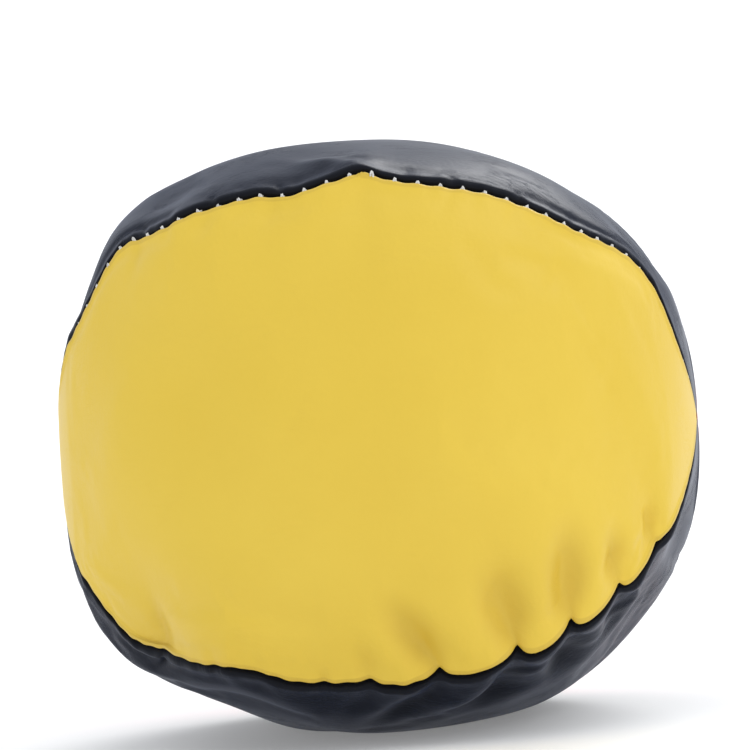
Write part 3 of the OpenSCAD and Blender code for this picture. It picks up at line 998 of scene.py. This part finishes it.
def seam_line(seam, stretches):
    """A mesh of bare edges along a seam, with the directions that the stitches need."""
    verts, edges, sewn, outs, acrosses = [], [], [], [], []
    for first, last in stretches:
        s = np.linspace(first, last, int((last - first) / LINE_STEP))
        start = len(verts)
        verts += seam_points(seam, s).tolist()
        out, across = seam_directions(seam, s)
        outs += out.tolist()
        acrosses += across.tolist()
        edges += [(start + i, start + i + 1) for i in range(len(s) - 1)]
        sewn += s.tolist()
    mesh = bpy.data.meshes.new("seam_line")
    mesh.from_pydata(verts, edges, [])
    mesh.attributes.new("sewn", "FLOAT", "POINT").data.foreach_set("value", sewn)
    for label, vectors in (("outward", outs), ("across", acrosses)):
        layer = mesh.attributes.new(label, "FLOAT_VECTOR", "POINT")
        layer.data.foreach_set("vector", np.ravel(vectors))
    return mesh


def made_by_nodes(name, mesh, tree, inputs):
    """Runs a node tree on a mesh, with its inputs by name, and returns the plain mesh that it makes."""
    rig = bpy.data.objects.new("rig", mesh)
    bpy.context.collection.objects.link(rig)
    nodes = rig.modifiers.new("nodes", "NODES")
    nodes.node_group = tree
    sockets = {item.name: item.identifier for item in tree.interface.items_tree
               if item.item_type == "SOCKET"}
    for label, value in inputs.items():
        nodes[sockets[label]] = value
    shown = rig.evaluated_get(bpy.context.evaluated_depsgraph_get())
    result = bpy.data.meshes.new_from_object(shown)
    result.name = name
    bpy.data.objects.remove(rig)
    return result


# %% Sew the machine seams
FIRST_STITCH = 5.2 * MM
thread = thread_material()
twisted_thread = twisted_thread_group()
lockstitch = lockstitch_group(twisted_thread)
# How deep the bars lie on each seam's needle and bobbin side: on one side the edge rolls over them.
BAR_DEPTHS = {FRONT_LOWER: (1.3, 1.3), BACK_LOWER: (0.95, 0.4),
              BACK_UPPER: (0.4, 0.95), FRONT_UPPER: (0.95, 0.35)}
end_stitch = SEAM_LENGTH - FIRST_STITCH
for seam, seam_name in enumerate(SEAMS):
    stretches = [(FIRST_STITCH, end_stitch)]
    if seam == FRONT_LOWER:
        stretches = [(FIRST_STITCH, OPENING[0] - 1 * MM), (OPENING[1] + 1 * MM, end_stitch)]
    for role, side, bar_depth in zip(("needle", "bobbin"), (1.0, -1.0), BAR_DEPTHS[seam]):
        name = f"{seam_name}_{role}_thread"
        mesh = made_by_nodes(name, seam_line(seam, stretches), lockstitch, {
            "Stitch Length": STITCH_PITCH, "Side": side, "Bar Depth": bar_depth * MM, "Material": thread})
        add_piece(name + "_twist", mesh, name)
        print(f"{name}: {len(mesh.polygons)} faces")

# %% [markdown]
# ## Closing the opening by hand
#
# The last few centimetres are closed from outside with a ladder stitch. The thread runs inside one edge
# for a stitch, crosses to the other, runs inside that one, and so on, and pulling it tight hides it. That
# pull is what gathers the leather on this side of the ball. The path is short, so it is worked out point
# by point and given to the same twisted-thread tree.

# %% The ladder stitch and its knots
LADDER_REACH = 0.7 * MM
LADDER_DEPTH = 2.5 * MM
KNOT_TURNS = 3
KNOT_RADIUS, KNOT_LENGTH = 0.34 * MM, 0.12 * MM


def ladder_path():
    """Runs inside one edge for a stitch, crosses quickly, then runs inside the other."""
    s = np.linspace(*OPENING, 240)
    out, across = seam_directions(FRONT_LOWER, s)
    sideways = np.tanh(4 * np.sin(math.pi * (s - OPENING[0]) / STITCH_PITCH))[:, None]
    return seam_points(FRONT_LOWER, s) + across * sideways * LADDER_REACH - out * LADDER_DEPTH


def knot_path(middle):
    """A knot: three tight turns wound on each other."""
    outward, across = seam_axes(FRONT_LOWER)
    ahead = np.array([1.0, 0, 0])
    turns = np.linspace(0, KNOT_TURNS * 2 * math.pi, 40)
    return [middle + KNOT_RADIUS * (across * math.cos(t) + outward * math.sin(t))
            + ahead * KNOT_LENGTH * math.sin(t / KNOT_TURNS) for t in turns]


def path_mesh(paths):
    verts, edges = [], []
    for path in paths:
        start = len(verts)
        verts += [tuple(p) for p in path]
        edges += [(start + i, start + i + 1) for i in range(len(path) - 1)]
    mesh = bpy.data.meshes.new("path")
    mesh.from_pydata(verts, edges, [])
    return mesh


def sweep_tree(twisted_thread):
    """Turns a mesh of edges to curves, for paths that are worked out point by point."""
    tree, given, out = new_group("hand_thread", "GeometryNodeTree", [
        ("Path", "NodeSocketGeometry", None),
        ("Smoothness", "NodeSocketFloat", 0.15 * MM),
        ("Thread Width", "NodeSocketFloat", 0.4 * MM),
        ("Material", "NodeSocketMaterial", None),
    ], [("Thread", "NodeSocketGeometry")])
    line = add(tree, "GeometryNodeMeshToCurve", {"Mesh": given["Path"]})
    rounded = add(tree, "GeometryNodeCurveSplineType", {"Curve": line.outputs[0]},
                  spline_type="CATMULL_ROM")
    even = add(tree, "GeometryNodeResampleCurve",
               {"Curve": rounded.outputs[0], "Length": given["Smoothness"]}, mode="LENGTH")
    wound = add(tree, "GeometryNodeGroup", {"Path": even.outputs[0], "Thread Width": given["Thread Width"],
                                            "Material": given["Material"]}, node_tree=twisted_thread)
    tree.links.new(wound.outputs[0], out["Thread"])
    return tree


ladder = ladder_path()
closing = made_by_nodes("closing_thread", path_mesh([ladder, knot_path(ladder[0]), knot_path(ladder[-1])]),
                        sweep_tree(twisted_thread), {"Material": thread})
add_piece("closing_thread_twist", closing, "closing_thread")
print(f"closing thread: {len(closing.polygons)} faces")

# %% [markdown]
# ## The filling
#
# About ten thousand grains of millet fill the cover. None can be seen, so only the outer layer is made:
# a core in the filling's shape, with grains strewn on it by Geometry Nodes. Each grain is a
# twenty-faced ball, because a shape that repeats thousands of times must stay light.

# %% Millet
def millet_material():
    material, tree, shader = new_material("millet")
    place = add(tree, "ShaderNodeTexCoord").outputs["Object"]
    patch = add(tree, "ShaderNodeTexNoise", {"Vector": place, "Scale": 420.0, "Detail": 2.0})
    tinted(tree, shader, patch.outputs["Fac"], (0.5, 0.29, 0.07), (0.82, 0.6, 0.22))
    bumped(tree, shader, patch.outputs["Fac"], 0.3, 0.1 * MM)
    shader.inputs["Roughness"].default_value = 0.38
    return material


def strewn_grains_group():
    tree, given, out = new_group("strewn_grains", "GeometryNodeTree", [
        ("Core", "NodeSocketGeometry", None), ("Grain Size", "NodeSocketFloat", 2 * MM),
        ("Spacing", "NodeSocketFloat", 1.7 * MM), ("Seed", "NodeSocketInt", SEED),
        ("Material", "NodeSocketMaterial", None),
    ], [("Filling", "NodeSocketGeometry")])
    spots = add(tree, "GeometryNodeDistributePointsOnFaces",
                {"Mesh": given["Core"], "Distance Min": given["Spacing"], "Density Max": 600000.0,
                 "Seed": given["Seed"]}, distribute_method="POISSON")
    grain = add(tree, "GeometryNodeMeshIcoSphere",
                {"Radius": math_node(tree, "MULTIPLY", given["Grain Size"], 0.5), "Subdivisions": 1})
    spin = add(tree, "FunctionNodeRandomValue", {1: (6.3, 6.3, 6.3), "Seed": given["Seed"]},
               data_type="FLOAT_VECTOR").outputs[0]
    sizes = add(tree, "FunctionNodeRandomValue", {2: 0.8, 3: 1.05, "Seed": given["Seed"]}, data_type="FLOAT")
    laid = add(tree, "GeometryNodeInstanceOnPoints",
               {"Points": spots.outputs[0], "Instance": grain.outputs[0], "Rotation": spin,
                "Scale": sizes.outputs[1]})
    both = add(tree, "GeometryNodeJoinGeometry")
    tree.links.new(laid.outputs[0], both.inputs[0])
    tree.links.new(given["Core"], both.inputs[0])
    end_tree(tree, both.outputs[0], given["Material"], out["Filling"])
    return tree


def merge(mesh):
    """Joins loose triangles into one skin."""
    work = bmesh.new()
    work.from_mesh(mesh)
    bmesh.ops.remove_doubles(work, verts=work.verts, dist=0.001 * MM)
    work.to_mesh(mesh)
    work.free()


CORE_SHARE = 0.9
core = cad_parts["millet_fill"].data.copy()
middle = np.array([0, 0, POLE_Z])
for vert in core.vertices:
    vert.co = middle + (np.array(vert.co) - middle) * CORE_SHARE
merge(core)
core.materials.clear()
grains = made_by_nodes("millet_fill", core, strewn_grains_group(), {"Material": millet_material()})
grains.shade_smooth()
add_piece("millet_grains", grains, "millet_fill")
print(f"filling: {len(grains.polygons)} faces")

# %% [markdown]
# ## Camera, floor and light
#
# The ball was shown alone on white under soft light, from nearly level and from far away, so a long lens
# is used. The camera is turned a little about its own axis, which makes the pole line climb to the right.

# %% Camera
CAMERA_AZIMUTH = math.radians(6)
CAMERA_ELEVATION = math.radians(3.5)
CAMERA_ROLL = math.radians(-4.2)
CAMERA_DISTANCE = 0.9
VIEW_WIDTH = 76.5 * MM
SENSOR = 36
aim = np.array([0, 0, POLE_Z + 6.4 * MM])
camera_data = bpy.data.cameras.new("camera")
camera_data.sensor_width = SENSOR
camera_data.lens = SENSOR * CAMERA_DISTANCE / VIEW_WIDTH
camera = bpy.data.objects.new("camera", camera_data)
bpy.context.collection.objects.link(camera)
level = math.cos(CAMERA_ELEVATION)
camera.location = aim + CAMERA_DISTANCE * np.array([
    math.sin(CAMERA_AZIMUTH) * level, -math.cos(CAMERA_AZIMUTH) * level, math.sin(CAMERA_ELEVATION)])
camera.rotation_mode = "XYZ"
look = (Vector(aim) - camera.location).to_track_quat("-Z", "Y").to_matrix().to_4x4()
camera.matrix_world = Matrix.Translation(camera.location) @ look @ Matrix.Rotation(CAMERA_ROLL, 4, "Z")
bpy.context.scene.camera = camera
print(f"camera lens {camera_data.lens:.0f} mm")


# %% Floor
def floor_material():
    material, tree, shader = new_material("pale_floor")
    spot = add(tree, "ShaderNodeTexCoord").outputs["Object"]
    cloud = add(tree, "ShaderNodeTexNoise", {"Vector": spot, "Scale": 6.0, "Detail": 3.0})
    tinted(tree, shader, cloud.outputs["Fac"], (0.79,) * 3, (0.81,) * 3)
    shader.inputs["Roughness"].default_value = 0.7
    shader.inputs["Specular IOR Level"].default_value = 0.2
    shader.inputs["Emission Color"].default_value = (1, 1, 1, 1)
    shader.inputs["Emission Strength"].default_value = 0.2    # lit from below, as a light table is
    return material


FLOOR_SIZE = 30.0
bpy.ops.mesh.primitive_plane_add(size=FLOOR_SIZE)
floor = bpy.context.object
floor.name = "floor"
floor.data.materials.append(floor_material())


# %% A pale studio: brightest on the camera's side
def studio_world(front, back, overhead):
    """Light from all round: its level before the ball and behind it, and what is added overhead."""
    world = bpy.data.worlds.new("studio")
    world.use_nodes = True
    tree = world.node_tree
    direction = add(tree, "ShaderNodeTexCoord").outputs["Generated"]
    way = add(tree, "ShaderNodeSeparateXYZ", {0: direction}).outputs
    level = add(tree, "ShaderNodeMapRange", {"Value": way["Y"], "From Min": -0.5, "From Max": 0.4,
                                             "To Min": front, "To Max": back},
                interpolation_type="SMOOTHSTEP").outputs[0]
    above = add(tree, "ShaderNodeMapRange", {"Value": way["Z"], "From Min": 0.5, "From Max": 1.0,
                                             "To Min": 0.0, "To Max": overhead},
                interpolation_type="SMOOTHSTEP").outputs[0]
    background = tree.nodes["Background"]
    background.inputs["Color"].default_value = (0.94, 0.965, 1.0, 1)
    tree.links.new(math_node(tree, "ADD", level, above), background.inputs["Strength"])
    bpy.context.scene.world = world


studio_world(front=0.78, back=0.85, overhead=0.45)

# %% Two wide, soft lamps from the right: one before the ball, one behind
def soft_lamp(name, towards, energy, spread):
    """A far lamp in a direction, which looks as wide as spread says, in degrees."""
    lamp = bpy.data.objects.new(name, bpy.data.lights.new(name, "SUN"))
    lamp.data.energy = energy
    lamp.data.angle = math.radians(spread)
    lamp.rotation_mode = "QUATERNION"
    lamp.rotation_quaternion = Vector(towards).to_track_quat("Z", "Y")
    bpy.context.collection.objects.link(lamp)


soft_lamp("front_lamp", (0.75, -0.35, 0.7), energy=0.5, spread=35)
soft_lamp("rim_lamp", (0.25, 0.8, 0.6), energy=1.3, spread=30)
bpy.context.scene.view_settings.view_transform = "Standard"
